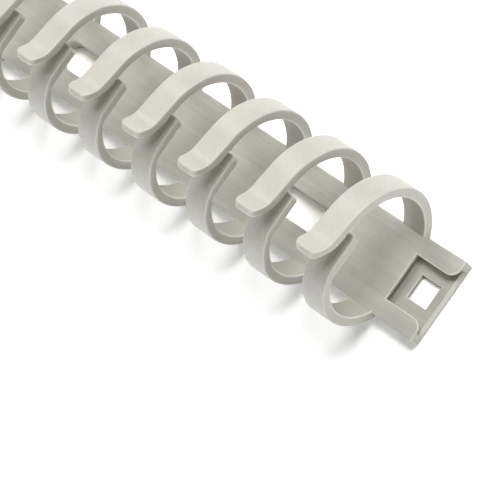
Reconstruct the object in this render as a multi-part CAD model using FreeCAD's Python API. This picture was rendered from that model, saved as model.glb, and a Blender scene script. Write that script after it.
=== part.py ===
"""Flexible cable spine: a moulded backbone with a row of open rings that hold cables.

The whole spine is one moulding. A flat-backed bar carries eight rings. Each ring is split near
its top, where an upper arm ends in a flared lip that rides over a straight tongue on the lower
arm. Two long screw slots pierce the bar. One end of the spine has a socket with a latch hole,
and the other end has the tongue and latch block that plug into the socket of the next spine.

Frame: +X along the spine towards the socket, +Y across it, +Z up from the mounting face.
The origin is on the mounting face, on the centre line, midway between the two screw slots.
"""
import FreeCAD, Part
import math
import os
from FreeCAD import Vector

os.makedirs("parts", exist_ok=True)

# Rings
ring_count = 8
ring_pitch = 20.0
band_width = 7.1
ring_inner_radius = 15.5
ring_wall = 2.6
rim_bevel = 0.45

# Backbone bar
bar_width = 21.8
bar_depth = 3.9
bar_edge_rounding = 0.4
wall_foot_inset = 0.45

# Upper arm: thinner past a small step underneath, then bent up into the flared lip
arm_lift_angle = 10.0
arm_relief = 0.5
relief_play = 0.1
relief_run = 1.4
flare_angle = 47.0
flare_radius = 8.0
lip_run = 4.2
lip_thickness = 1.8
lip_near_corner_radius = 1.5
lip_far_corner_radius = 2.6

# Lower arm: a left wall that curves in, then a straight tongue under the upper arm
tongue_lower_height = 10.4
tongue_thickness = 2.5
tongue_overlap = 0.6
tongue_corner_radius = 1.0
shoulder_radius = 5.0
armpit_radius = 2.5
outer_side_spare = 0.7
inner_side_spare = 2.1

# Screw slots
slot_width = 7.3
slots_from_end = 2
slot_edge_bevel = 0.3

# Socket at the near end, as long as the space between two rings
socket_side_wall = 1.6
socket_roof = 0.8
socket_floor = 1.3
socket_taper = 0.3
socket_draft = 0.2
notch_width = 12.5
notch_setback = 0.95
notch_corner_radius = 2.9
latch_hole_length = 6.0
latch_hole_width = 6.2
latch_hole_start = 3.8
floor_bevel_length = 0.8
floor_bevel_drop = 0.6

# Plug at the far end, and its play in the socket of the next spine
plug_side_play = 0.2
plug_height_play = 0.1
plug_end_play = 0.6
latch_play = 0.2
latch_bottom_play = 0.2
latch_ramp = 1.6
plug_corner_radius = 1.5

# How far a cutting shape runs past the surface that it opens
cut_margin = 1.0

# Sizes that follow from the ones above
ring_outer_radius = ring_inner_radius + ring_wall
ring_gap = ring_pitch - band_width
half_bar = bar_width / 2
wall_foot_y = half_bar - wall_foot_inset
ring_centre_z = bar_depth + math.sqrt(ring_inner_radius ** 2 - wall_foot_y ** 2)
flat_half_width = math.sqrt(ring_outer_radius ** 2 - ring_centre_z ** 2)
rings_length = (ring_count - 1) * ring_pitch + band_width
near_rim_x = rings_length / 2
far_rim_x = -near_rim_x
socket_length = ring_gap
socket_end_x = near_rim_x + socket_length
tongue_upper_height = tongue_lower_height + tongue_thickness
cavity_floor_z = socket_floor
cavity_roof_z = bar_depth - socket_roof
half_cavity = half_bar - socket_taper - socket_side_wall


def at(y, z, x=0.0):
    """Point of a cross-section that lies at x along the spine."""
    return Vector(x, y, z)


def circle_point(radius, degrees):
    """Point on a circle about the ring's centre, measured from +Y towards +Z."""
    angle = math.radians(degrees)
    return at(radius * math.cos(angle), ring_centre_z + radius * math.sin(angle))


def ring_arc(radius, start_degrees, end_degrees):
    """Arc about the ring's centre between two angles."""
    middle_degrees = (start_degrees + end_degrees) / 2
    return Part.Arc(
        circle_point(radius, start_degrees),
        circle_point(radius, middle_degrees),
        circle_point(radius, end_degrees),
    ).toShape()


def line(start, end):
    """Straight edge between two points."""
    return Part.LineSegment(start, end).toShape()


def meeting_point(point_a, direction_a, point_b, direction_b):
    """Point where two lines of one cross-section meet."""
    cross = direction_a.y * direction_b.z - direction_a.z * direction_b.y
    apart = point_b - point_a
    along = (apart.y * direction_b.z - apart.z * direction_b.y) / cross
    return point_a + direction_a * along


def rounded_corner(before, corner, after, radius):
    """Arc that rounds a corner, with the points where it leaves the two straight runs."""
    to_before = (before - corner).normalize()
    to_after = (after - corner).normalize()
    half_angle = to_before.getAngle(to_after) / 2
    reach = radius / math.tan(half_angle)
    inward = (to_before + to_after).normalize()
    centre = corner + inward * (radius / math.sin(half_angle))
    start = corner + to_before * reach
    end = corner + to_after * reach
    arc = Part.Arc(start, centre - inward * radius, end).toShape()
    return start, arc, end


def upper_arm_edges():
    """Edges of the upper arm, from the outer circle round the lip's tip to the inner circle."""
    lift_angle = math.radians(arm_lift_angle)
    tip_angle = math.radians(flare_angle)
    arm_direction = Vector(0, -math.cos(lift_angle), math.sin(lift_angle))
    lip_direction = Vector(0, -math.cos(tip_angle), math.sin(tip_angle))
    lip_normal = Vector(0, math.sin(tip_angle), math.cos(tip_angle))

    step_y = tongue_overlap + relief_play
    step_degrees = math.degrees(math.acos(step_y / ring_inner_radius))
    step_foot = circle_point(ring_inner_radius, step_degrees)
    step_top = at(step_y, ring_centre_z + ring_inner_radius + arm_relief)
    bend_reach = flare_radius * math.tan(tip_angle / 2)
    inner_corner = step_top + Vector(0, -relief_run - bend_reach, 0)
    inner_tip = inner_corner + lip_direction * (bend_reach + lip_run)
    outer_tip = inner_tip + lip_normal * lip_thickness
    outer_start = circle_point(ring_outer_radius, 90.0 - arm_lift_angle)
    outer_corner = meeting_point(outer_start, arm_direction, outer_tip, lip_direction)
    outer_bend_radius = flare_radius - (ring_wall + lip_thickness) / 2

    outer_bend = rounded_corner(outer_start, outer_corner, outer_tip, outer_bend_radius)
    inner_bend = rounded_corner(inner_tip, inner_corner, step_top, flare_radius)
    edges = [
        line(outer_start, outer_bend[0]),
        outer_bend[1],
        line(outer_bend[2], outer_tip),
        line(outer_tip, inner_tip),
        line(inner_tip, inner_bend[0]),
        inner_bend[1],
        line(inner_bend[2], step_top),
        line(step_top, step_foot),
    ]
    return edges, outer_tip, inner_tip, step_degrees


def side_edges(ring_radius, side_radius, bend_radius, height, run_end_y):
    """One face of the lower arm: up the left wall, round its bend and along the tongue."""
    side_centre_y = side_radius - ring_radius
    turn = math.asin((height - bend_radius) / (side_radius - bend_radius))
    bend_centre_y = side_centre_y - (side_radius - bend_radius) * math.cos(turn)

    def side_point(angle):
        return at(
            side_centre_y - side_radius * math.cos(angle),
            ring_centre_z + side_radius * math.sin(angle),
        )

    def bend_point(angle):
        return at(
            bend_centre_y - bend_radius * math.cos(angle),
            ring_centre_z + height - bend_radius + bend_radius * math.sin(angle),
        )

    side = Part.Arc(side_point(0), side_point(turn / 2), side_point(turn)).toShape()
    middle = (turn + math.pi / 2) / 2
    bend = Part.Arc(bend_point(turn), bend_point(middle), bend_point(math.pi / 2)).toShape()
    run_end = at(run_end_y, ring_centre_z + height)
    return [side, bend, line(bend_point(math.pi / 2), run_end)], run_end


def ring_outline():
    """Closed cross-section of one ring, from its flat foot round both arms."""
    foot_degrees = -math.degrees(math.asin(ring_centre_z / ring_outer_radius))
    seat_z = bar_depth / 2
    seat_degrees = -math.degrees(math.asin((ring_centre_z - seat_z) / ring_inner_radius))
    upper_arm, outer_tip, inner_tip, step_degrees = upper_arm_edges()
    outer_side, upper_end = side_edges(
        ring_outer_radius,
        tongue_upper_height + outer_side_spare,
        shoulder_radius,
        tongue_upper_height,
        tongue_overlap,
    )
    inner_side, lower_end = side_edges(
        ring_inner_radius,
        tongue_lower_height + inner_side_spare,
        armpit_radius,
        tongue_lower_height,
        tongue_overlap,
    )
    edges = [
        ring_arc(ring_outer_radius, foot_degrees, 90.0 - arm_lift_angle),
        ring_arc(ring_inner_radius, step_degrees, seat_degrees),
        line(
            circle_point(ring_inner_radius, seat_degrees),
            circle_point(ring_inner_radius, 180 - seat_degrees),
        ),
        ring_arc(ring_inner_radius, 180 - seat_degrees, 180),
        line(lower_end, upper_end),
        ring_arc(ring_outer_radius, 180, 180 - foot_degrees),
        line(at(-flat_half_width, 0), at(flat_half_width, 0)),
    ]
    edges += upper_arm + outer_side + inner_side
    lip_tip = (outer_tip + inner_tip) * 0.5
    tongue_tip = (upper_end + lower_end) * 0.5
    return Part.Wire(Part.__sortEdges__(edges)), lip_tip, tongue_tip


def tip_edge(solid, tip, rim_x):
    """The edge on one rim whose middle is over a point of the cross-section."""
    on_rim = Vector(rim_x, tip.y, tip.z)
    return [edge for edge in solid.Edges if (edge.CenterOfMass - on_rim).Length < 0.01]


def rim_edges(solid):
    """Edges that bound the two rims, without the foot and the hidden seat."""
    found = []
    for edge in solid.Edges:
        box = edge.BoundBox
        on_rim = box.XLength < 0.001 and (abs(box.XMin) < 0.001 or abs(box.XMin - band_width) < 0.001)
        level = box.ZLength < 0.001
        in_bar = box.ZMax < bar_depth
        if on_rim and not (level and in_bar):
            found.append(edge)
    return found


def make_ring():
    """One split ring with bevelled rims, standing from x = 0 to the band's width."""
    outline, lip_tip, tongue_tip = ring_outline()
    ring = Part.Face(outline).extrude(Vector(band_width, 0, 0))
    ring = ring.makeFillet(lip_far_corner_radius, tip_edge(ring, lip_tip, 0))
    ring = ring.makeFillet(lip_near_corner_radius, tip_edge(ring, lip_tip, band_width))
    for rim_x in (0, band_width):
        ring = ring.makeFillet(tongue_corner_radius, tip_edge(ring, tongue_tip, rim_x))
    return ring.makeChamfer(rim_bevel, rim_edges(ring))


def box(low, high):
    """Block between two opposite corners."""
    size = high - low
    return Part.makeBox(size.x, size.y, size.z, low)


def edges_where(solid, test):
    """Edges of a solid whose bounding box passes a test."""
    return [edge for edge in solid.Edges if test(edge.BoundBox)]


def is_level(edge_box, z):
    """Whether an edge lies in the level plane at a height."""
    return abs(edge_box.ZMin - z) < 0.001 and abs(edge_box.ZMax - z) < 0.001


def make_bar():
    """The bar under the rings. Its lower corners follow the rings' outer circle."""
    bar = box(Vector(far_rim_x, -half_bar, 0), Vector(near_rim_x, half_bar, bar_depth))
    top_edges = edges_where(bar, lambda b: is_level(b, bar_depth) and b.YLength < 0.001)
    bar = bar.makeFillet(bar_edge_rounding, top_edges)
    inside_rings = Part.makeCylinder(
        ring_outer_radius, rings_length, at(0, ring_centre_z, far_rim_x), Vector(1, 0, 0)
    )
    return bar.common(inside_rings)


def socket_section(x, half_top):
    """Cross-section of the socket's outside, with its side walls in draft."""
    half_bottom = half_top + socket_draft
    corners = [
        at(-half_bottom, 0, x),
        at(half_bottom, 0, x),
        at(half_top, bar_depth, x),
        at(-half_top, bar_depth, x),
    ]
    return Part.makePolygon(corners + corners[:1])


def notch_cutter():
    """Notch in the socket's roof: square at its root, with corners rounded into the end."""
    half_notch = notch_width / 2
    half_mouth = half_notch + notch_corner_radius
    flare_x = socket_end_x - notch_corner_radius
    past_end = socket_end_x + cut_margin
    past_top = bar_depth + cut_margin
    straight = box(
        Vector(near_rim_x + notch_setback, -half_notch, cavity_floor_z),
        Vector(past_end, half_notch, past_top),
    )
    mouth = box(
        Vector(flare_x, -half_mouth, cavity_floor_z),
        Vector(past_end, half_mouth, past_top),
    )
    for side in (-1, 1):
        corner_axis = Vector(flare_x, side * half_mouth, 0)
        mouth = mouth.cut(Part.makeCylinder(notch_corner_radius, past_top, corner_axis))
    return straight.fuse(mouth)


def make_socket():
    """Flat box at the near end: roof with a notch, side walls, and a floor with a latch hole."""
    root = socket_section(near_rim_x, half_bar)
    end = socket_section(socket_end_x, half_bar - socket_taper)
    socket = Part.makeLoft([root, end], True, True)
    top_edges = edges_where(socket, lambda b: is_level(b, bar_depth) and b.XLength > socket_length / 2)
    socket = socket.makeFillet(bar_edge_rounding, top_edges)

    cavity = box(
        Vector(near_rim_x, -half_cavity, cavity_floor_z),
        Vector(socket_end_x + cut_margin, half_cavity, cavity_roof_z),
    )
    hole_x = near_rim_x + latch_hole_start
    latch_hole = box(
        Vector(hole_x, -latch_hole_width / 2, -cut_margin),
        Vector(hole_x + latch_hole_length, latch_hole_width / 2, cavity_roof_z),
    )
    bevel_profile = Part.makePolygon([
        Vector(socket_end_x - floor_bevel_length, -half_cavity, cavity_floor_z),
        Vector(socket_end_x, -half_cavity, cavity_floor_z - floor_bevel_drop),
        Vector(socket_end_x, -half_cavity, cavity_floor_z),
        Vector(socket_end_x - floor_bevel_length, -half_cavity, cavity_floor_z),
    ])
    floor_bevel = Part.Face(bevel_profile).extrude(Vector(0, 2 * half_cavity, 0))
    return socket.cut([cavity, notch_cutter(), latch_hole, floor_bevel])


def make_plug():
    """Flat tongue at the far end, with a ramped block below it that snaps into a latch hole."""
    half_plug = half_cavity - plug_side_play
    low = cavity_floor_z + plug_height_play
    high = cavity_roof_z - plug_height_play
    tip_x = far_rim_x - socket_length + plug_end_play
    plug = box(Vector(tip_x, -half_plug, low), Vector(far_rim_x, half_plug, high))
    tip_corners = edges_where(plug, lambda b: b.ZLength > 0.1 and b.XMax < tip_x + 0.001)
    plug = plug.makeFillet(plug_corner_radius, tip_corners)

    block_tip_x = far_rim_x - socket_length + latch_hole_start + latch_play
    block_root_x = block_tip_x + latch_hole_length - 2 * latch_play
    half_block = latch_hole_width / 2 - latch_play
    block_profile = Part.makePolygon([
        Vector(block_tip_x, -half_block, low),
        Vector(block_root_x, -half_block, low),
        Vector(block_root_x, -half_block, latch_bottom_play),
        Vector(block_tip_x + latch_ramp, -half_block, latch_bottom_play),
        Vector(block_tip_x, -half_block, low),
    ])
    block = Part.Face(block_profile).extrude(Vector(0, 2 * half_block, 0))
    return plug.fuse(block)


def slot_cutter(centre_x):
    """Round-ended screw slot. Its end circles are centred on the rims of the rings beside it."""
    radius = slot_width / 2
    half_straight = ring_gap / 2
    past_top = bar_depth + cut_margin
    straight = box(
        Vector(centre_x - half_straight, -radius, -cut_margin),
        Vector(centre_x + half_straight, radius, past_top),
    )
    ends = []
    for side in (-1, 1):
        end_centre = Vector(centre_x + side * half_straight, 0, -cut_margin)
        ends.append(Part.makeCylinder(radius, past_top + cut_margin, end_centre))
    return straight.fuse(ends)


def slot_rim_edges(solid, centre_x):
    """Edges round the mouth of one slot in the bar's top face."""
    half_length = (ring_gap + slot_width) / 2 + 0.01
    half_width = slot_width / 2 + 0.01
    return edges_where(
        solid,
        lambda b: is_level(b, bar_depth)
        and abs(b.XMin - centre_x) < half_length
        and abs(b.XMax - centre_x) < half_length
        and max(abs(b.YMin), abs(b.YMax)) < half_width,
    )


def make_spine():
    """The whole moulding."""
    ring = make_ring()
    rings = []
    for index in range(ring_count):
        placed = ring.copy()
        placed.translate(Vector(far_rim_x + index * ring_pitch, 0, 0))
        rings.append(placed)
    spine = make_bar().fuse(rings + [make_socket(), make_plug()]).removeSplitter()
    for side in (-1, 1):
        slot_x = side * (near_rim_x - band_width / 2 - (slots_from_end - 0.5) * ring_pitch)
        spine = spine.cut(slot_cutter(slot_x))
        spine = spine.makeChamfer(slot_edge_bevel, slot_rim_edges(spine, slot_x))
    return spine


spine = make_spine()
print("solids", len(spine.Solids), "valid", spine.isValid(), "volume", round(spine.Volume / 1000, 3), "cm3")
print("ring centre above the back", round(ring_centre_z, 2), "half of the flat back", round(flat_half_width, 2))
spine.Solids[0].exportStep("parts/spine.step")
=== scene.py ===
# %% [markdown]
# # A cable spine
#
# The object is a cable spine: one plastic moulding with a flat-backed bar and eight split rings.
# Cables are pressed in between a flared lip and a straight tongue at the top of each ring, and
# screws through two long slots hold the bar to a wall or under a desk.
#
# The frame is loaded first. It brings in the CAD solid in metres and in its final place, so the
# visual model only has to be drawn in the same frame.

# %% Load the frame
import math

import bmesh
import bpy
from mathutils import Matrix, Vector


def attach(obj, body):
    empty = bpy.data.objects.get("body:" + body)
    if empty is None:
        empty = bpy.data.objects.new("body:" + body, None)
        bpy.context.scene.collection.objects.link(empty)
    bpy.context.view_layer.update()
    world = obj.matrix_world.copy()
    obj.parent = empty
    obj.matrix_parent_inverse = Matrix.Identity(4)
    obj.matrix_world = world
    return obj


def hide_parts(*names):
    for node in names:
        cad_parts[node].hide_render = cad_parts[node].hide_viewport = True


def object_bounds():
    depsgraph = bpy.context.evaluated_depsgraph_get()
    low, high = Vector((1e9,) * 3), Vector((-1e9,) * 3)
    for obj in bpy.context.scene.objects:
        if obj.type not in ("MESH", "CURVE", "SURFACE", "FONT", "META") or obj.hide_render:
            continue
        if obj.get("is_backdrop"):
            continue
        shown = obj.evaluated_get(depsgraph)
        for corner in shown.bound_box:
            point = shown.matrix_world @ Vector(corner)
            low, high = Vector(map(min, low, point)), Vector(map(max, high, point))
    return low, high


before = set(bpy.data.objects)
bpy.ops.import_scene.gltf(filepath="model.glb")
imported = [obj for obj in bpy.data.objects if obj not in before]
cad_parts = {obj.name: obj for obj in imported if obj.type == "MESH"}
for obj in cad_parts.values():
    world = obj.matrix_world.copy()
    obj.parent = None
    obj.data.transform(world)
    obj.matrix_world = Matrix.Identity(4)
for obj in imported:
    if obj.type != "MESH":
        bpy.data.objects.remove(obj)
cad_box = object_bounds()
print("nodes:", list(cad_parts), "box:", cad_box)

# %% [markdown]
# ## Sizes
#
# The sizes are in millimetres, as on the drawing of the part, and are turned into metres only
# when the finished mesh is placed in the scene. X runs along the spine towards its socket, Y
# runs across it towards the closed side of the rings, and Z is up from the flat back. They
# could be read off the CAD mesh, but named values say what they mean and can be changed.

# %% Main sizes in millimetres
MM = 0.001
RING_COUNT = 8
PITCH = 20.0
BAND = 7.1
INNER_R = 15.5
OUTER_R = 18.1
CENTRE_Z = 15.351
BAR_HALF = 10.9
BAR_TOP = 3.9
NEAR_X = ((RING_COUNT - 1) * PITCH + BAND) / 2
SOCKET_LENGTH = PITCH - BAND
SOCKET_END = NEAR_X + SOCKET_LENGTH
print("rings from", -NEAR_X, "to", NEAR_X, "socket ends at", SOCKET_END)

# %% [markdown]
# ## A pen that draws cross-sections
#
# A moulded band has the same cross-section all along its width, so the work is in drawing that
# outline well. A curve object could hold it, but a pen made of a single vertex gives exact
# tangent arcs: `extrude_vert_indiv` drags it along a straight line, and `spin` drags it round a
# centre and leaves an arc behind.

# %% Pen helpers
ARC_STEP = 2.5  # degrees of turn in one step of a long arc


def verts_in(geometry):
    """The vertices among the mixed elements that an operator returns."""
    return [item for item in geometry if isinstance(item, bmesh.types.BMVert)]


def drag(bm, pen, place):
    """Drag the pen straight to a place and return it there."""
    end = bmesh.ops.extrude_vert_indiv(bm, verts=[pen])["verts"][0]
    end.co = place
    return end


def swing(bm, pen, centre, axis, degrees, steps):
    """Drag the pen round an axis and return it at the end of its arc."""
    made = bmesh.ops.spin(
        bm, geom=[pen], cent=centre, axis=axis, angle=math.radians(degrees), steps=steps,
        use_duplicate=False,
    )
    return verts_in(made["geom_last"])[0]


def start_pen(bm, y, z):
    return bm.verts.new((0.0, y, z))


def draw_line(bm, pen, y, z):
    """Straight line in the plane of the cross-section."""
    return drag(bm, pen, (0.0, y, z))


def draw_arc(bm, pen, centre_y, centre_z, degrees, steps=None):
    """Arc in the plane of the cross-section. Positive angles turn from +Y towards +Z."""
    steps = steps or max(2, math.ceil(abs(degrees) / ARC_STEP))
    return swing(bm, pen, (0.0, centre_y, centre_z), (1.0, 0.0, 0.0), degrees, steps)


print("one arc step is", ARC_STEP, "degrees")

# %% [markdown]
# A closed outline becomes a face, and a face that is dragged sideways becomes a solid. Both are
# single operators, `contextual_create` and `extrude_face_region`. The second leaves the old face
# behind as one end of the solid, so nothing has to be capped.

# %% From outline to solid
def fill_outline(bm, first, last, drawn_before=()):
    """Join the pen's end to its start and fill the new outline with one face."""
    bmesh.ops.weld_verts(bm, targetmap={last: first})
    outline = [edge for edge in bm.edges if edge not in drawn_before]
    bmesh.ops.contextual_create(bm, geom=outline)


def thicken(bm, along):
    """Drag all filled outlines along a vector, which turns them into solids."""
    made = bmesh.ops.extrude_face_region(bm, geom=bm.faces[:])
    bmesh.ops.translate(bm, verts=verts_in(made["geom"]), vec=along)
    bmesh.ops.recalc_face_normals(bm, faces=bm.faces[:])


def polar(radius, degrees):
    """Point on a circle about the ring's centre, as Y and Z."""
    angle = math.radians(degrees)
    return radius * math.cos(angle), CENTRE_Z + radius * math.sin(angle)


def angle_at_height(radius, z):
    """Angle at which a circle about the ring's centre reaches a height on its +Y side."""
    return math.degrees(math.asin((z - CENTRE_Z) / radius))


print("the outer circle meets the flat back at", round(angle_at_height(OUTER_R, 0.0)), "degrees")

# %% [markdown]
# ## The two arms of a ring
#
# Each ring starts as two arms that rise from the bar. The right arm goes round and over the top,
# steps thinner underneath and bends up into the lip. It could be cut from a torus, but the lip
# and the step are easier to draw than to cut, so the whole outline is drawn with the pen.

# %% Right arm
LIFT_START = 80.0  # degrees round the ring where the outside leaves its circle
LIFT = math.radians(10.0)
FLARE = math.radians(47.0)
LIP_BEND = 8.0
LIP_RUN = 4.0
LIP_THICKNESS = 1.8
STEP_Y = 0.7
STEP_Z = 16.0
STEP_RUN = 1.4
FOOT_Z = 0.03
FOOT = angle_at_height(OUTER_R, FOOT_Z)  # where the outside of an arm starts
SEAT = angle_at_height(INNER_R, BAR_TOP / 2)  # where its inside ends, buried in the bar


def lip_bend(outer_tip, along):
    """Where the outside of the arm starts to bend into the lip, and the bend's centre."""
    radius = LIP_BEND - (OUTER_R - INNER_R + LIP_THICKNESS) / 2
    start = Vector(polar(OUTER_R, LIFT_START))
    rise = Vector((-math.cos(LIFT), math.sin(LIFT)))
    apart = outer_tip - start
    corner = start + rise * (apart.cross(along) / rise.cross(along))
    bend_start = corner - rise * radius * math.tan((FLARE - LIFT) / 2)
    return bend_start, bend_start + Vector((rise.y, -rise.x)) * radius


def right_arm_outline(bm):
    """From the foot up the outside to the lip, and back along the inside."""
    bend_y, bend_z = STEP_Y - STEP_RUN, CENTRE_Z + STEP_Z + LIP_BEND
    along = Vector((-math.cos(FLARE), math.sin(FLARE)))
    across = Vector((math.sin(FLARE), math.cos(FLARE)))
    inner_end = Vector((bend_y, bend_z)) - across * LIP_BEND
    inner_tip = inner_end + along * LIP_RUN
    outer_tip = inner_tip + across * LIP_THICKNESS
    bend_start, bend_centre = lip_bend(outer_tip, along)
    step_foot = math.degrees(math.acos(STEP_Y / INNER_R))

    first = start_pen(bm, *polar(OUTER_R, FOOT))
    pen = draw_arc(bm, first, 0.0, CENTRE_Z, LIFT_START - FOOT)
    pen = draw_line(bm, pen, *bend_start)
    pen = draw_arc(bm, pen, *bend_centre, math.degrees(LIFT - FLARE))
    for corner in (outer_tip, inner_tip, inner_end):
        pen = draw_line(bm, pen, *corner)
    pen = draw_arc(bm, pen, bend_y, bend_z, math.degrees(FLARE))
    pen = draw_line(bm, pen, STEP_Y, CENTRE_Z + STEP_Z)
    pen = draw_line(bm, pen, *polar(INNER_R, step_foot))
    pen = draw_arc(bm, pen, 0.0, CENTRE_Z, SEAT - step_foot)
    pen = draw_line(bm, pen, pen.co.y, FOOT_Z)
    last = draw_line(bm, pen, *polar(OUTER_R, FOOT))
    return first, last, tuple((inner_tip + outer_tip) / 2)


print("lip bends by", round(math.degrees(FLARE)), "degrees")

# %% [markdown]
# The left arm curves in more tightly and ends in a flat tongue under the other arm. The lip can
# be pushed up and the tongue down, so a cable slips in between them and can't fall out again.
# It could be traced as a free curve, but arcs that touch each other without a corner keep the
# wall smooth: each side of it turns in with a wide arc and then over with a tight one.

# %% Left arm
TONGUE_LOW = 10.4
TONGUE_HIGH = 12.9
TONGUE_END = 0.6
OUTSIDE_SPARE = 0.7  # radius of the wide arc beyond the tongue's height
OUTSIDE_BEND = 5.0
INSIDE_SPARE = 2.1
INSIDE_BEND = 2.5


def side_arcs(circle, top, spare, bend):
    """Centres of the wide and the tight arc that lead from a circle to the tongue, and the turn."""
    wide = top + spare
    turn = math.asin((top - bend) / (wide - bend))
    wide_y = wide - circle
    return wide_y, wide_y - (wide - bend) * math.cos(turn), math.degrees(turn)


def left_arm_outline(bm):
    """From the foot up the outside, along the tongue, and back down the inside."""
    first = start_pen(bm, *polar(OUTER_R, 180.0 - FOOT))
    pen = draw_arc(bm, first, 0.0, CENTRE_Z, FOOT)
    wide_y, bend_y, turn = side_arcs(OUTER_R, TONGUE_HIGH, OUTSIDE_SPARE, OUTSIDE_BEND)
    pen = draw_arc(bm, pen, wide_y, CENTRE_Z, -turn)
    pen = draw_arc(bm, pen, bend_y, CENTRE_Z + TONGUE_HIGH - OUTSIDE_BEND, turn - 90.0)
    pen = draw_line(bm, pen, TONGUE_END, CENTRE_Z + TONGUE_HIGH)
    pen = draw_line(bm, pen, TONGUE_END, CENTRE_Z + TONGUE_LOW)
    wide_y, bend_y, turn = side_arcs(INNER_R, TONGUE_LOW, INSIDE_SPARE, INSIDE_BEND)
    pen = draw_line(bm, pen, bend_y, CENTRE_Z + TONGUE_LOW)
    pen = draw_arc(bm, pen, bend_y, CENTRE_Z + TONGUE_LOW - INSIDE_BEND, 90.0 - turn)
    pen = draw_arc(bm, pen, wide_y, CENTRE_Z, turn)
    pen = draw_arc(bm, pen, 0.0, CENTRE_Z, -SEAT)
    pen = draw_line(bm, pen, pen.co.y, FOOT_Z)
    return first, draw_line(bm, pen, *polar(OUTER_R, 180.0 - FOOT))


print("tongue ends", TONGUE_END, "mm past the middle")

# %% [markdown]
# ## Finding and rounding edges
#
# No edge of a moulding is sharp. A Bevel modifier rounds every edge alike, but here each kind of
# edge has its own radius, so `bevel` is given exactly the edges that it should round. They are
# found by where they lie: at the tip of an arm, or along the rims on the outer or inner side.

# %% Rounding helpers
HAIR = 0.01  # slack of the tests that find faces and edges by their place
WALL_TILT = 0.02  # a wall's normal leans less than this towards the spine's length
HIDDEN_HALF = 9.65  # half the width within which an arm's foot is buried in the bar


def round_edges(bm, edges, radius, segments):
    """Round some edges and return the new faces."""
    made = bmesh.ops.bevel(
        bm, geom=edges, offset=radius, offset_type="OFFSET", affect="EDGES",
        segments=segments, profile=0.5, material=-1, clamp_overlap=False,
    )
    return made["faces"]


def middle_of(edge):
    return (edge.verts[0].co + edge.verts[1].co) / 2


def edge_on_rim(bm, tip, rim_x):
    """The edge on one rim whose middle is over a point of the cross-section."""
    target = Vector((rim_x, *tip))
    return [edge for edge in bm.edges if (middle_of(edge) - target).length < HAIR]


def is_end_face(face, tips):
    """Whether a face belongs to a rim, to a rounded corner or to the tip of an arm."""
    centre = face.calc_center_median()
    on_tip = any(math.hypot(centre.y - y, centre.z - z) < 5 * HAIR for y, z in tips)
    return on_tip or abs(face.normal.x) > WALL_TILT


def rim_edges(bm, tips, outside):
    """Edges round the rims on the outer or on the inner side of the arms."""
    ends = {face for face in bm.faces if is_end_face(face, tips)}
    found = []
    for edge in bm.edges:
        walls = [face for face in edge.link_faces if face not in ends]
        in_bar = max(vert.co.z for vert in edge.verts) < BAR_TOP / 2 + HAIR
        hidden = in_bar and max(abs(vert.co.y) for vert in edge.verts) < HIDDEN_HALF
        if len(walls) == 1 and not hidden:
            from_centre = middle_of(edge) - Vector((0.0, 0.0, CENTRE_Z))
            away = walls[0].normal.yz.dot(from_centre.yz)
            if (away > 0) == outside:
                found.append(edge)
    return found


print("edges are found to within", HAIR, "mm")

# %% [markdown]
# ## One ring
#
# The corners of the lip and of the tongue are rounded in plan first. Then the edges of both rims
# are rounded: generously on the outside, where fingers and cables slide over the ring, and only
# slightly on the inside. A lighter line is painted along such edges as a painted highlight, most
# over the top of the ring, where the light falls. A texture could paint that line, but the new
# faces are right there, so they carry an attribute that the material reads. A narrow inset inside
# each rim keeps its flat face flat when the shading is smooth.

# %% Make one ring
LIP_CORNERS = ((0.0, 2.6, 8), (BAND, 1.5, 6))  # X of the rim, radius and segments
TONGUE_CORNERS = ((0.0, 1.0, 5), (BAND, 1.0, 5))
OUTER_ROUND = (0.4, 4)  # radius and segments
INNER_ROUND = (0.32, 3)
RIM_LEAN = 0.999  # a rim's normal lies at least this much along the spine
RIM_AREA = 5.0  # square millimetres, more than any other face that looks along the spine
RIM_INSET = 0.05
STRIP_LEAN = (0.35, 0.85)  # the same lean for the middle strips of the outer rounding
TOP_Z = CENTRE_Z + TONGUE_HIGH + 0.5  # only the arm that goes over the top is higher
# strength of the painted highlight on each kind of rounded edge
HIGHLIGHT_TOP = 0.6  # how pale each kind of edge is, from 0 to 1
HIGHLIGHT_OUTSIDE = 0.3
HIGHLIGHT_FLANK = 0.1
HIGHLIGHT_INSIDE = 1.0


def outer_highlight(face):
    """How strongly a highlight is painted on a face of the outer rounding: most over the top, least
    on its flanks.
    """
    if not STRIP_LEAN[0] < abs(face.normal.x) < STRIP_LEAN[1]:
        return HIGHLIGHT_FLANK
    return HIGHLIGHT_TOP if face.calc_center_median().z > TOP_Z else HIGHLIGHT_OUTSIDE


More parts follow.
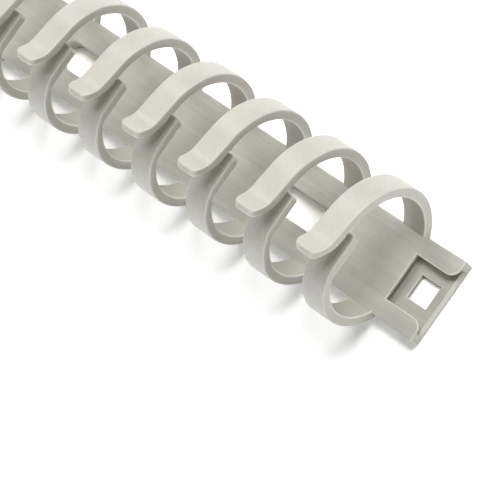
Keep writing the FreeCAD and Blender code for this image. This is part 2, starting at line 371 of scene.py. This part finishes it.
def ring_arms():
    """Both arms of one ring, from x = 0 to the band's width."""
    bm = bmesh.new()
    first, last, lip = right_arm_outline(bm)
    fill_outline(bm, first, last)
    right_edges = set(bm.edges)
    fill_outline(bm, *left_arm_outline(bm), right_edges)
    thicken(bm, (BAND, 0.0, 0.0))

    tongue = (TONGUE_END, CENTRE_Z + (TONGUE_LOW + TONGUE_HIGH) / 2)
    for tip, corners in ((lip, LIP_CORNERS), (tongue, TONGUE_CORNERS)):
        for rim_x, radius, segments in corners:
            round_edges(bm, edge_on_rim(bm, tip, rim_x), radius, segments)
    outer_edges = rim_edges(bm, (lip, tongue), True)
    inner_edges = rim_edges(bm, (lip, tongue), False)
    # painted highlight: each rounded face gets an amount by which the material lightens it
    painted_highlight = bm.faces.layers.float.new("painted_highlight")
    outer_faces = round_edges(bm, outer_edges, *OUTER_ROUND)
    bm.normal_update()
    for face in outer_faces:
        face[painted_highlight] = outer_highlight(face)
    inner_edges = [edge for edge in inner_edges if edge.is_valid]
    for face in round_edges(bm, inner_edges, *INNER_ROUND):
        face[painted_highlight] = HIGHLIGHT_INSIDE
    facing = [face for face in bm.faces if abs(face.normal.x) > RIM_LEAN]
    rims = [face for face in facing if face.calc_area() > RIM_AREA]
    bmesh.ops.inset_region(bm, faces=rims, thickness=RIM_INSET, use_even_offset=True)
    return bm


rings = ring_arms()
print("faces of one ring", len(rings.faces))

# %% [markdown]
# The row of rings is the same ring again and again, one pitch apart. An Array modifier would do
# it too, but the rings are going to be joined to the bar, and copies in one mesh are joined in
# one go.

# %% Copy the ring
one_ring = rings.verts[:] + rings.edges[:] + rings.faces[:]
bmesh.ops.translate(rings, verts=rings.verts[:], vec=(-NEAR_X, 0.0, 0.0))
for index in range(1, RING_COUNT):
    copied = bmesh.ops.duplicate(rings, geom=one_ring)
    bmesh.ops.translate(rings, verts=verts_in(copied["geom"]), vec=(index * PITCH, 0.0, 0.0))
print("faces of all rings", len(rings.faces))

# %% [markdown]
# ## Solids that add and take away
#
# The rest of the moulding is made as a toolmaker would describe it: a bar, a socket and a plug
# are added, and slots, a notch and a latch hole are taken away. A small helper turns each bmesh
# into an object, and another joins or cuts two of them with Blender's exact boolean. The result
# is applied at once, so that each step starts from a plain mesh.

# %% Solid helpers
def to_object(bm, name):
    mesh = bpy.data.meshes.new(name)
    bmesh.ops.recalc_face_normals(bm, faces=bm.faces[:])
    bm.to_mesh(mesh)
    bm.free()
    made = bpy.data.objects.new(name, mesh)
    bpy.context.scene.collection.objects.link(made)
    return made


def combine(base, other, operation):
    """Join or cut two closed solids, and keep only the result."""
    modifier = base.modifiers.new(operation.lower(), "BOOLEAN")
    modifier.operation = operation
    modifier.solver = "EXACT"
    modifier.object = other
    graph = bpy.context.evaluated_depsgraph_get()
    result = bpy.data.meshes.new_from_object(base.evaluated_get(graph))
    base.modifiers.clear()
    base.data = result
    bpy.data.objects.remove(other)
    return base


def block(bm, low, high):
    """Box between two corners, from Blender's own cube."""
    low, high = Vector(low), Vector(high)
    verts = bmesh.ops.create_cube(bm, size=1.0)["verts"]
    bmesh.ops.scale(bm, verts=verts, vec=high - low)
    bmesh.ops.translate(bm, verts=verts, vec=(low + high) / 2)
    return verts


def edges_of(bm, test):
    """Edges whose two ends both pass a test."""
    return [edge for edge in bm.edges if all(test(vert.co) for vert in edge.verts)]


print("exact booleans join and cut the solids")

# %% [markdown]
# ## The bar
#
# The bar is the backbone that the screws hold. Its top edges are rounded and its lower corners
# follow the outer circle of the rings. A bevelled box would miss those corners, so its section
# is drawn with the pen too. It is a hair smaller than the rings, because an exact boolean works
# best where two surfaces don't lie in each other.

# %% Make the bar
EDGE_ROUND = 0.4
EDGE_STEPS = 4
SKIN = 0.02


def make_bar():
    bm = bmesh.new()
    radius = OUTER_R - SKIN
    start = angle_at_height(radius, 0.0)
    side = -math.degrees(math.acos(BAR_HALF / radius))
    flat_half, shoulder = BAR_HALF - EDGE_ROUND, BAR_TOP - EDGE_ROUND
    first = start_pen(bm, *polar(radius, start))
    pen = draw_arc(bm, first, 0.0, CENTRE_Z, side - start)
    pen = draw_line(bm, pen, BAR_HALF, shoulder)
    pen = draw_arc(bm, pen, flat_half, shoulder, 90.0, EDGE_STEPS)
    pen = draw_line(bm, pen, -flat_half, BAR_TOP)
    pen = draw_arc(bm, pen, -flat_half, shoulder, 90.0, EDGE_STEPS)
    pen = draw_line(bm, pen, *polar(radius, 180.0 - side))
    pen = draw_arc(bm, pen, 0.0, CENTRE_Z, side - start)
    last = draw_line(bm, pen, *polar(radius, start))
    fill_outline(bm, first, last)
    thicken(bm, (2 * (NEAR_X - SKIN), 0.0, 0.0))
    bmesh.ops.translate(bm, verts=bm.verts[:], vec=(SKIN - NEAR_X, 0.0, 0.0))
    return to_object(bm, "bar")


bar = make_bar()
print("bar faces", len(bar.data.polygons))

# %% [markdown]
# ## The socket
#
# The socket is a flat box with a slight taper, and the plug of the next spine slides into it. It
# could be drawn as a section with walls, but its outside and its inside narrow differently. So a
# block with moved corners gives the outside, and the inside is taken away afterwards.

# %% Make the socket's block
TAPER = 0.3
DRAFT = 0.2
FINE_ROUND = 0.2
FINE_STEPS = 3
OVERLAP = 1.0  # how far a cutter or a buried end reaches past what it meets
SOCKET_TOP = BAR_TOP - HAIR  # not in the bar's own plane, for the boolean's sake
HIGHLIGHT_END = 0.6


def make_socket():
    bm = bmesh.new()
    painted_highlight = bm.faces.layers.float.new("painted_highlight")
    block(bm, (NEAR_X - OVERLAP, -BAR_HALF, 0.0), (SOCKET_END, BAR_HALF, SOCKET_TOP))
    for vert in bm.verts:
        taper = TAPER if vert.co.x > NEAR_X else 0.0
        draft = DRAFT if vert.co.z < HAIR else 0.0
        vert.co.y += math.copysign(draft - taper, vert.co.y)
    top = edges_of(bm, lambda co: co.z > SOCKET_TOP - HAIR)
    long_top = [edge for edge in top if edge.calc_length() < SOCKET_LENGTH + 2 * OVERLAP]
    round_edges(bm, long_top, EDGE_ROUND, EDGE_STEPS)
    end = edges_of(bm, lambda co: co.x > SOCKET_END - HAIR)
    end = [edge for edge in end if max(vert.co.z for vert in edge.verts) > HAIR]
    # painted highlight on the rounded end edges of the socket
    for face in round_edges(bm, end, FINE_ROUND, FINE_STEPS):
        face[painted_highlight] = HIGHLIGHT_END
    return to_object(bm, "socket")


socket = make_socket()
print("socket faces", len(socket.data.polygons))

# %% [markdown]
# The plug slides in over a bevelled floor, and a hole in the floor takes its latch. The cavity
# and the hole are plain blocks taken away. The bevel is one more, with its near bottom edge
# lifted, because a sloped cutter is simpler than finding the floor's edge again after a cut.

# %% Cut the cavity, the hole and the bevel
SIDE_WALL = 1.6
ROOF = 0.8
FLOOR = 1.3
HALF_CAVITY = BAR_HALF - TAPER - SIDE_WALL
CEILING = BAR_TOP - ROOF
HOLE_X = NEAR_X + 3.8
HOLE_LENGTH = 6.0
HOLE_HALF = 3.1
BEVEL_RUN = 0.8
BEVEL_DROP = 0.6


def cut_block(target, low, high):
    bm = bmesh.new()
    block(bm, low, high)
    return combine(target, to_object(bm, "cutter"), "DIFFERENCE")


def cut_bevel(target):
    """Slope the end of the cavity's floor with a block whose near bottom edge is lifted."""
    bm = bmesh.new()
    low = (SOCKET_END - BEVEL_RUN, -HALF_CAVITY, FLOOR - 2 * BEVEL_DROP)
    verts = block(bm, low, (SOCKET_END + BEVEL_RUN, HALF_CAVITY, FLOOR + OVERLAP))
    for vert in verts:
        if vert.co.x < SOCKET_END and vert.co.z < FLOOR:
            vert.co.z = FLOOR
    return combine(target, to_object(bm, "bevel"), "DIFFERENCE")


cut_block(socket, (NEAR_X, -HALF_CAVITY, FLOOR), (SOCKET_END + OVERLAP, HALF_CAVITY, CEILING))
cut_block(socket, (HOLE_X, -HOLE_HALF, -OVERLAP), (HOLE_X + HOLE_LENGTH, HOLE_HALF, CEILING))
cut_bevel(socket)
print("socket faces", len(socket.data.polygons))

# %% [markdown]
# ## The notch in the roof
#
# The roof has a wide notch, so the plug can be seen and pressed down. It is square at its root
# and opens out at the end in two quarter circles. A block less two cylinders would cut it too,
# but one outline has no seams. One half of it is drawn from above with the same pen, and
# `mirror` adds the other half.

# %% Cut the notch
NOTCH_X = NEAR_X + 0.95
NOTCH_HALF = 6.25
NOTCH_ROUND = 2.9
NOTCH_STEPS = 10
WELD = 0.001  # points closer than this become one


def make_notch():
    bm = bmesh.new()
    low_z, high_z = FLOOR + HAIR, BAR_TOP + OVERLAP
    corner_x, end_x = SOCKET_END - NOTCH_ROUND, SOCKET_END + OVERLAP
    mouth_half = NOTCH_HALF + NOTCH_ROUND
    first = bm.verts.new((NOTCH_X, 0.0, low_z))
    pen = drag(bm, first, (NOTCH_X, NOTCH_HALF, low_z))
    pen = drag(bm, pen, (corner_x, NOTCH_HALF, low_z))
    pen = swing(bm, pen, (corner_x, mouth_half, 0.0), (0.0, 0.0, 1.0), 90.0, NOTCH_STEPS)
    for x, y in ((end_x, mouth_half), (end_x, 0.0), (NOTCH_X, 0.0)):
        pen = drag(bm, pen, (x, y, low_z))
    fill_outline(bm, first, pen)
    thicken(bm, (0.0, 0.0, high_z - low_z))
    half = bm.verts[:] + bm.edges[:] + bm.faces[:]
    bmesh.ops.mirror(bm, geom=half, axis="Y", merge_dist=WELD)
    middle = [face for face in bm.faces if all(abs(vert.co.y) < WELD for vert in face.verts)]
    bmesh.ops.delete(bm, geom=middle, context="FACES_ONLY")
    return to_object(bm, "notch")


combine(socket, make_notch(), "DIFFERENCE")
print("socket faces", len(socket.data.polygons))

# %% [markdown]
# The edges of the notch and of the hole are broken with a fine rounding, as a mould's edges
# always are, and a highlight is painted on them, as on the bevel. After a boolean nothing
# knows any more which edge came from where, so they are found again by their height and by
# their square angle.

# %% Soften the openings
SQUARE = (70.0, 110.0)  # degrees between two faces that meet squarely
SLOPE_LEAN = (0.3, 0.9)  # lean of the bevel's normal along the spine
HIGHLIGHT_OPENINGS = 0.9
HIGHLIGHT_SLOPE = 0.7


def is_corner(edge, z):
    """Whether an edge lies at a height, between a level face and a wall."""
    if not edge.is_manifold or any(abs(vert.co.z - z) >= WELD for vert in edge.verts):
        return False
    return SQUARE[0] < math.degrees(edge.calc_face_angle(0.0)) < SQUARE[1]


def on_opening(edge):
    """Whether an edge is an upper edge of the notch or of the latch hole."""
    middle = middle_of(edge)
    inside = NEAR_X + FINE_ROUND / 2 < middle.x < SOCKET_END - HAIR
    inside = inside and abs(middle.y) < HALF_CAVITY + FINE_ROUND
    in_hole = abs(middle.y) < HOLE_HALF + HAIR and is_corner(edge, FLOOR)
    return inside and (is_corner(edge, SOCKET_TOP) or in_hole)


def on_slope(face):
    """Whether a face is the bevel at the end of the cavity's floor."""
    middle = face.calc_center_median()
    leans = SLOPE_LEAN[0] < face.normal.x < SLOPE_LEAN[1] and face.normal.z > SLOPE_LEAN[0]
    return leans and abs(middle.y) < HALF_CAVITY and middle.z < FLOOR


def soften_openings(target):
    """Break the edges of the openings, paint a highlight on them and on the bevel, and count the
    edges.
    """
    bm = bmesh.new()
    bm.from_mesh(target.data)
    # painted highlight on the edges of the notch and the hole, and on the bevel
    painted_highlight = bm.faces.layers.float["painted_highlight"]
    edges = [edge for edge in bm.edges if on_opening(edge)]
    for face in round_edges(bm, edges, FINE_ROUND, FINE_STEPS):
        face[painted_highlight] = HIGHLIGHT_OPENINGS
    for face in bm.faces:
        if on_slope(face):
            face[painted_highlight] = HIGHLIGHT_SLOPE
    bm.to_mesh(target.data)
    bm.free()
    return len(edges)


print("softened edges", soften_openings(socket), "of", len(socket.data.polygons), "faces")

# %% [markdown]
# ## The plug
#
# The far end is out of the photo, and it is finished as the partner of the socket: a flat tongue
# that fills the cavity with a little play, and a ramped block under it for the latch hole. It is
# made from the socket's own sizes less the play, so the two always fit each other.

# %% Make the plug
SIDE_PLAY = 0.2
HEIGHT_PLAY = 0.1
END_PLAY = 0.6
PLUG_CORNER = (1.5, 6)  # radius and segments
LATCH_RAMP = 1.6
NEXT_SPINE = NEAR_X + SOCKET_END  # from one spine to the next in a row
PLUG_TIP = END_PLAY - SOCKET_END
LATCH_X = HOLE_X - NEXT_SPINE + SIDE_PLAY


def make_plug():
    bm = bmesh.new()
    half = HALF_CAVITY - SIDE_PLAY
    low, high = FLOOR + HEIGHT_PLAY, CEILING - HEIGHT_PLAY
    block(bm, (PLUG_TIP, -half, low), (OVERLAP - NEAR_X, half, high))
    tip = edges_of(bm, lambda co: co.x < PLUG_TIP + HAIR)
    corners = [edge for edge in tip if abs(edge.verts[0].co.y - edge.verts[1].co.y) < HAIR]
    round_edges(bm, corners, *PLUG_CORNER)
    return to_object(bm, "plug")


def make_latch():
    bm = bmesh.new()
    half = HOLE_HALF - SIDE_PLAY
    end = LATCH_X + HOLE_LENGTH - 2 * SIDE_PLAY
    block(bm, (LATCH_X, -half, SIDE_PLAY), (end, half, FLOOR + 3 * HEIGHT_PLAY))
    for vert in bm.verts:
        if vert.co.x < LATCH_X + HAIR and vert.co.z < FLOOR:
            vert.co.x += LATCH_RAMP
    return to_object(bm, "latch")


plug = combine(make_plug(), make_latch(), "UNION")
print("plug faces", len(plug.data.polygons))

# %% [markdown]
# ## The screw slots
#
# Two screw slots go through the bar, each with a narrow bevel round its upper rim. A slot could
# be two holes and a block. Here the cutter is a cylinder with a flared top, split in the middle
# with `bisect_plane` and pulled apart, so that its wall and its bevel run on without a seam.

# %% Cut the slots
SLOT_HALF = 3.65
SLOT_CENTRES = (-40.0, 40.0)
SLOT_RIM = 0.3
SLOT_STEPS = 48


def make_slot(centre):
    bm = bmesh.new()
    low, high = -OVERLAP, BAR_TOP - SLOT_RIM
    bmesh.ops.create_cone(
        bm, cap_ends=True, cap_tris=False, segments=SLOT_STEPS, radius1=SLOT_HALF,
        radius2=SLOT_HALF, depth=high - low,
    )
    bmesh.ops.translate(bm, verts=bm.verts[:], vec=(0.0, 0.0, (low + high) / 2))
    top = [face for face in bm.faces if face.normal.z > 0.9]
    flared = verts_in(bmesh.ops.extrude_face_region(bm, geom=top)["geom"])
    wider = (SLOT_HALF + OVERLAP) / SLOT_HALF
    bmesh.ops.translate(bm, verts=flared, vec=(0.0, 0.0, OVERLAP))
    bmesh.ops.scale(bm, verts=flared, vec=(wider, wider, 1.0))
    bmesh.ops.delete(bm, geom=top, context="FACES_ONLY")
    bmesh.ops.bisect_plane(
        bm, geom=bm.verts[:] + bm.edges[:] + bm.faces[:], plane_co=(0.0, 0.0, 0.0),
        plane_no=(1.0, 0.0, 0.0),
    )
    for vert in bm.verts:
        if abs(vert.co.x) > WELD:
            vert.co.x += math.copysign((PITCH - BAND) / 2, vert.co.x)
    bmesh.ops.translate(bm, verts=bm.verts[:], vec=(centre, 0.0, 0.0))
    return to_object(bm, "slot")


for centre in SLOT_CENTRES:
    combine(bar, make_slot(centre), "DIFFERENCE")
print("bar faces", len(bar.data.polygons))

# %% [markdown]
# ## One moulding
#
# The real part is a single moulding, so the bar, the rings, the socket and the plug are joined
# into one closed surface. Pieces that only touch would look much the same, but they would leave
# hidden walls inside the mesh.

# %% Join the moulding
spine = combine(bar, to_object(rings, "rings"), "UNION")
spine = combine(spine, socket, "UNION")
spine = combine(spine, plug, "UNION")
spine.name = "spine_moulding"
print("moulding faces", len(spine.data.polygons))

# %% [markdown]
# ## Edges and shading
#
# The finished mesh is scaled to metres. Faces that meet at less than about thirty degrees are
# shaded as one smooth surface, and sharper edges stay crisp. Smooth shading alone would make the
# long flat faces look dented beside their rounded edges, so weighted normals let the large faces
# decide.

# %% Clean the mesh
TINY = 0.0005  # millimetres between points that become one
SHARP_FROM = math.radians(32.0)

bm = bmesh.new()
bm.from_mesh(spine.data)
bmesh.ops.remove_doubles(bm, verts=bm.verts[:], dist=TINY)
bmesh.ops.dissolve_degenerate(bm, edges=bm.edges[:], dist=TINY)
bmesh.ops.recalc_face_normals(bm, faces=bm.faces[:])
bmesh.ops.scale(bm, verts=bm.verts[:], vec=(MM, MM, MM))
for face in bm.faces:
    face.smooth = True
for edge in bm.edges:
    edge.smooth = edge.is_manifold and edge.calc_face_angle(0.0) < SHARP_FROM
open_edges = [edge for edge in bm.edges if not edge.is_manifold]
print("open edges", len(open_edges))
bm.to_mesh(spine.data)
bm.free()
weighted = spine.modifiers.new("even_shading", "WEIGHTED_NORMAL")
weighted.keep_sharp = True

# %% [markdown]
# ## A helper for materials
#
# A material is a network of nodes. A painted picture could be wrapped round the spine in its
# place, but nodes fit any shape and stay sharp from close by. This helper keeps the lines that
# add and link them short.

# %% Node helper
class Nodes:
    """Adds and links the nodes of one material."""

    def __init__(self, name):
        self.material = bpy.data.materials.new(name)
        self.material.use_nodes = True
        self.tree = self.material.node_tree
        self.shader = self.tree.nodes["Principled BSDF"]

    def add(self, kind, inputs=(), **settings):
        node = self.tree.nodes.new(kind)
        for key, value in settings.items():
            setattr(node, key, value)
        for socket, value in dict(inputs).items():
            if isinstance(value, bpy.types.NodeSocket):
                self.tree.links.new(value, node.inputs[socket])
            else:
                node.inputs[socket].default_value = value
        return node

    def math(self, operation, first, second):
        return self.add("ShaderNodeMath", {0: first, 1: second}, operation=operation).outputs[0]

    def mean(self, first, second):
        """Mean of two factors."""
        return self.math("MULTIPLY", self.math("ADD", first, second), 0.5)

    def noise(self, scale, detail, stretch=(1, 1, 1), roughness=0.5):
        """Noise on object coordinates, stretched along one or more axes."""
        coords = self.add("ShaderNodeTexCoord").outputs["Object"]
        mapped = self.add("ShaderNodeMapping", {"Vector": coords, "Scale": stretch})
        node = self.add("ShaderNodeTexNoise", {
            "Vector": mapped.outputs[0], "Scale": scale, "Detail": detail, "Roughness": roughness,
        })
        return node.outputs["Fac"]

    def ramp(self, factor, low=0.3, high=0.7, start=0.0, end=1.0):
        """Spread a range of a factor over another range."""
        node = self.add("ShaderNodeMapRange", {
            "Value": factor, "From Min": low, "From Max": high, "To Min": start, "To Max": end,
        })
        return node.outputs[0]

    def mix(self, factor, first, second):
        """Mix two colours."""
        node = self.add("ShaderNodeMix", {0: factor, 6: first, 7: second}, data_type="RGBA")
        return node.outputs[2]

    def bump(self, height, distance, strength, below=None):
        """Bump with its distance in metres, over another bump where there is one."""
        inputs = {"Height": height, "Distance": distance, "Strength": strength}
        if below is not None:
            inputs["Normal"] = below
        return self.add("ShaderNodeBump", inputs).outputs[0]


print("material nodes are added by", Nodes.__name__)

# %% [markdown]
# ## The plastic
#
# The spine is moulded in a warm light grey plastic with a satin surface. One flat colour would
# look like paint, so nodes vary it a little: broad soft clouds and fine specks as in any
# moulding, long flow lines along the bar, and a painted highlight on the rounded edges. Three weak
# bumps give the waves, the flow lines and the grain of the surface.

# %% Make the plastic
PLASTIC = (0.57, 0.554, 0.491)
CLOUD_LIGHT = (0.62, 0.602, 0.54, 1.0)
CLOUD_DARK = 0.94
STREAK_DARK = 0.75
STREAK_SHARE = 0.8
STREAK_FADE = 0.5  # millimetres above the bar over which the flow lines fade out
# painted highlight: how much lighter the rounded edges are, and how much of that is mixed in
HIGHLIGHT_LIGHT = 1.5
HIGHLIGHT_SHARE = 0.9
ROUGH_LOW, ROUGH_HIGH = 0.38, 0.48
PLASTIC_IOR = 1.47


def shade(factor):
    """The plastic's colour, darker or lighter."""
    return tuple(min(1.0, channel * factor) for channel in PLASTIC) + (1.0,)


def plastic():
    nodes = Nodes("spine_plastic")
    coords = nodes.add("ShaderNodeTexCoord").outputs["Object"]
    height = nodes.add("ShaderNodeSeparateXYZ", {0: coords}).outputs[2]
    on_bar = nodes.ramp(height, low=(BAR_TOP + STREAK_FADE) * MM, high=BAR_TOP * MM)
    clouds = nodes.ramp(nodes.noise(scale=130.0, detail=2.0))
    specks = nodes.ramp(nodes.noise(scale=1700.0, detail=1.0))
    flow = nodes.noise(scale=1500.0, detail=3.0, stretch=(0.03, 1, 1), roughness=0.6)
    wide_flow = nodes.noise(scale=420.0, detail=2.0, stretch=(0.05, 1, 1))
    grain = nodes.noise(scale=5200.0, detail=2.0)
    waves = nodes.noise(scale=260.0, detail=1.0)
    # painted highlight: the attribute that the rounded edges carry
    painted_highlight = nodes.add("ShaderNodeAttribute", attribute_name="painted_highlight").outputs["Fac"]

    streaks = nodes.mean(nodes.ramp(flow), nodes.ramp(wide_flow))
    streaks = nodes.math("MULTIPLY", streaks, on_bar)
    colour = nodes.mix(nodes.mean(clouds, specks), shade(CLOUD_DARK), CLOUD_LIGHT)
    streak_share = nodes.math("MULTIPLY", streaks, STREAK_SHARE)
    colour = nodes.mix(streak_share, colour, shade(STREAK_DARK))
    # painted highlight: the rounded edges are mixed towards a lighter colour
    highlight_share = nodes.math("MULTIPLY", painted_highlight, HIGHLIGHT_SHARE)
    colour = nodes.mix(highlight_share, colour, shade(HIGHLIGHT_LIGHT))
    rough = nodes.ramp(clouds, low=0.0, high=1.0, start=ROUGH_LOW, end=ROUGH_HIGH)
    normal = nodes.bump(waves, distance=0.12 * MM, strength=0.25)
    normal = nodes.bump(streaks, distance=0.03 * MM, strength=0.5, below=normal)
    normal = nodes.bump(grain, distance=0.01 * MM, strength=0.5, below=normal)

    for value, name in ((colour, "Base Color"), (rough, "Roughness"), (normal, "Normal")):
        nodes.tree.links.new(value, nodes.shader.inputs[name])
    nodes.shader.inputs["IOR"].default_value = PLASTIC_IOR
    return nodes.material


spine.data.materials.clear()
spine.data.materials.append(plastic())
print("material", spine.data.materials[0].name)

# %% [markdown]
# ## The floor
#
# The photo shows the spine on plain white, with soft shadows. More lamps would make a pale floor
# white, and would bleach the spine too. So the floor's own colour does it: what the camera sees,
# directly or in a reflection, reads brighter than what the floor throws back onto the spine.

# %% Make the floor
FLOOR_SIZE = 3.0
FLOOR_WHITE = 0.9
FLOOR_ROUGH = 0.9
SEEN_WHITE = 1.5
WORLD_STRENGTH = 0.05


def floor_white():
    """White floor, which reads a little brighter where the camera sees it than it lights."""
    material = bpy.data.materials.new("floor_white")
    material.use_nodes = True
    nodes, links = material.node_tree.nodes, material.node_tree.links
    lit = nodes["Principled BSDF"]
    lit.inputs["Base Color"].default_value = (FLOOR_WHITE, FLOOR_WHITE, FLOOR_WHITE, 1.0)
    lit.inputs["Roughness"].default_value = FLOOR_ROUGH
    seen = nodes.new("ShaderNodeBsdfDiffuse")
    seen.inputs["Color"].default_value = (SEEN_WHITE, SEEN_WHITE, SEEN_WHITE, 1.0)
    rays = nodes.new("ShaderNodeLightPath")
    factor = rays.outputs["Is Camera Ray"]
    for kind in ("Is Glossy Ray", "Is Transmission Ray"):
        either = nodes.new("ShaderNodeMath")
        either.operation = "MAXIMUM"
        links.new(factor, either.inputs[0])
        links.new(rays.outputs[kind], either.inputs[1])
        factor = either.outputs[0]
    mix = nodes.new("ShaderNodeMixShader")
    for index, value in enumerate((factor, lit.outputs[0], seen.outputs[0])):
        links.new(value, mix.inputs[index])
    links.new(mix.outputs[0], nodes["Material Output"].inputs["Surface"])
    return material


bm = bmesh.new()
bmesh.ops.create_grid(bm, x_segments=1, y_segments=1, size=FLOOR_SIZE)
floor = to_object(bm, "floor")
floor.data.materials.append(floor_white())
floor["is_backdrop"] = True

world = bpy.data.worlds.new("studio")
bpy.context.scene.world = world
world.use_nodes = True
sky = world.node_tree.nodes["Background"]
sky.inputs["Color"].default_value = (1.0, 1.0, 1.0, 1.0)
sky.inputs["Strength"].default_value = WORLD_STRENGTH
print("floor", tuple(floor.dimensions))

# %% [markdown]
# ## The lamps
#
# In the photo the light comes from above and from the closed side of the rings, and the shadows
# fall softly to the other side. One lamp would leave hard shadows and dark walls. So two warm
# key lamps share the closed side, a sheen lamp and a back lamp draw the tops of the arms, and
# two cool lamps low at the socket's end and on the lips' side open the shadows.

# %% Set up the lamps
WARM = (1.0, 0.99, 0.97)
COOL = (0.92, 0.95, 1.0)
LAMP_DISTANCE = 1.2
AIM = Vector((0.0, 0.0, 0.01))
LAMPS = (  # name, turn from +X and height in degrees, size in metres, watts, colour
    ("key_side", 68.0, 58.0, 0.5, 7.4, WARM),
    ("key_back", 120.0, 59.0, 0.5, 4.6, WARM),
    ("sheen", 136.0, 39.0, 0.3, 3.3, COOL),
    ("back", 170.0, 60.0, 0.6, 2.6, WARM),
    ("front", 0.0, 5.0, 0.2, 3.7, COOL),
    ("left", 270.0, 7.0, 0.4, 7.9, COOL),
)


def area_light(name, turn, height, size, power, colour):
    """A square soft lamp at the lamps' distance, aimed at the spine."""
    lamp = bpy.data.lights.new(name, "AREA")
    lamp.energy = power
    lamp.size = size
    lamp.color = colour
    made = bpy.data.objects.new(name, lamp)
    bpy.context.scene.collection.objects.link(made)
    around, up = math.radians(turn), math.radians(height)
    away = Vector((math.cos(up) * math.cos(around), math.cos(up) * math.sin(around), math.sin(up)))
    made.location = away * LAMP_DISTANCE + AIM
    made.rotation_euler = away.to_track_quat("Z", "Y").to_euler()


for values in LAMPS:
    area_light(*values)
print("lamps", [values[0] for values in LAMPS])

# %% [markdown]
# ## The camera
#
# The camera stands where the photograph was taken from, a good half metre away, with a long lens.
# Its place and its turn come from fitting the repeated rings in the photograph: equal rings at
# one pitch are a ruler that runs away from the viewer. A camera set by eye would be off by a few
# degrees, and then no proportion could be compared.

# %% Place the camera
SENSOR = 36.0
LENS = 180.1
CAMERA_PLACE = (0.363396, -0.018824, 0.481053)
CAMERA_TURN = (22.1328, 27.6111, 40.5142)

camera_data = bpy.data.cameras.new("camera")
camera_data.sensor_width = SENSOR
camera_data.lens = LENS
camera = bpy.data.objects.new("camera", camera_data)
bpy.context.scene.collection.objects.link(camera)
camera.location = CAMERA_PLACE
camera.rotation_euler = tuple(math.radians(angle) for angle in CAMERA_TURN)
bpy.context.scene.camera = camera
bpy.context.scene.view_settings.view_transform = "Standard"
print("camera at", tuple(camera.location))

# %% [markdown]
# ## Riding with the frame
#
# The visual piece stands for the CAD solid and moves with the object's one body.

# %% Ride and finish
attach(spine, "root")
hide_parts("spine")


def plain(value):
    return [plain(item) for item in value] if hasattr(value, "__len__") else float(value)


{"cad": plain(cad_box), "visual": plain(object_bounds())}
